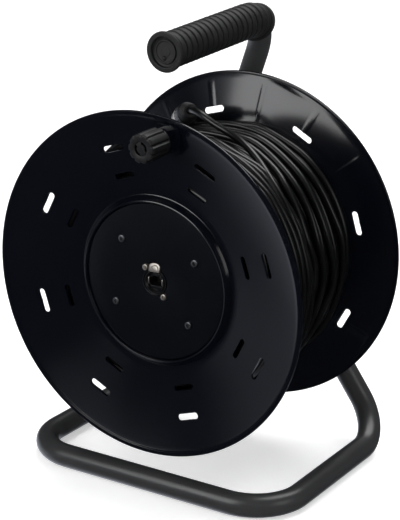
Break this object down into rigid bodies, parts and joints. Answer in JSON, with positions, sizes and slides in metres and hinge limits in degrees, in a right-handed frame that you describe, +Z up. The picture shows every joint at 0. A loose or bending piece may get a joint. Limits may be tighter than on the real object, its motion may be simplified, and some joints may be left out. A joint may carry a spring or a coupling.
{
  "type": "network cable reel",
  "caption": "Portable cable reel: a dished-flange drum of wound network cable turns on the axle of a bent-tube stand with gripped handle, rewind knob and latching data socket on the hub.",
  "frame": {"origin": "centre of the bounding box on the floor that the stand rests on", "axes": "+X across the reel to the right as the socket side is seen, +Y along the axle from the socket side to the frame legs, +Z up"},
  "size_m": [0.31, 0.2624, 0.4106],
  "materials": {
    "frame_coat": "satin black powder coat on steel tube",
    "grip_rubber": "matt black moulded rubber",
    "black_plastic_matt": "matt black moulded plastic",
    "flange_plastic": "glossy black moulded plastic",
    "satin_plastic": "satin black plastic",
    "zinc_steel": "zinc-plated steel",
    "nickel": "satin nickel plate",
    "black_plate": "black-plated die casting",
    "nylon": "natural nylon",
    "jacket": "black flexible cable jacket, semi-matt"
  },
  "bodies": {
    "frame": {"frame_tube": "frame_coat", "handle_grip": "grip_rubber", "grip_end_cap": "black_plastic_matt", "axle_bolt": "zinc_steel", "axle_head_washer": "zinc_steel", "axle_sleeve": "zinc_steel", "thrust_washer": "zinc_steel", "frame_washer": "zinc_steel", "axle_nut": "zinc_steel"},
    "drum": {"front_flange": "flange_plastic", "rear_flange": "flange_plastic", "drum_core": "satin_plastic", "bearing_bush_front": "nylon", "bearing_bush_rear": "nylon", "hub_panel": "satin_plastic", "socket_shell": "black_plate", "socket_insert": "satin_plastic", "inner_plug": "nylon", "inner_lead": "jacket", "lead_grommet": "grip_rubber", "cable_winding": "jacket", "cable_end": "jacket", "plug_nose": "nickel", "plug_insert": "nylon", "plug_body": "satin_plastic", "plug_bushing": "grip_rubber", "knob_pin": "black_plastic_matt", "knob_nut": "zinc_steel", "tie_bolt_1": "zinc_steel", "tie_nut_1": "zinc_steel", "panel_screw_1": "zinc_steel", "tie_bolt_2": "zinc_steel", "tie_nut_2": "zinc_steel", "panel_screw_2": "zinc_steel", "tie_bolt_3": "zinc_steel", "tie_nut_3": "zinc_steel", "panel_screw_3": "zinc_steel", "tie_bolt_4": "zinc_steel", "tie_nut_4": "zinc_steel", "panel_screw_4": "zinc_steel", "socket_screw_1": "nickel", "socket_screw_2": "nickel"},
    "knob": {"knob": "black_plastic_matt"},
    "latch": {"socket_latch": "nickel"}
  },
  "joints": [
    {"name": "drum_spin", "type": "hinge", "parent": "frame", "child": "drum", "pos_m": [0, -0.00875, 0.1917], "axis": [0, 1, 0], "continuous": true},
    {"name": "knob_spin", "type": "hinge", "parent": "drum", "child": "knob", "pos_m": [0.0199, -0.13125, 0.3259], "axis": [0, 1, 0], "continuous": true},
    {"name": "latch_push", "type": "slide", "parent": "drum", "child": "latch", "axis": [0, 1, 0], "range_m": [0, 0.0015], "stiffness_N_per_m": 400}
  ]
}
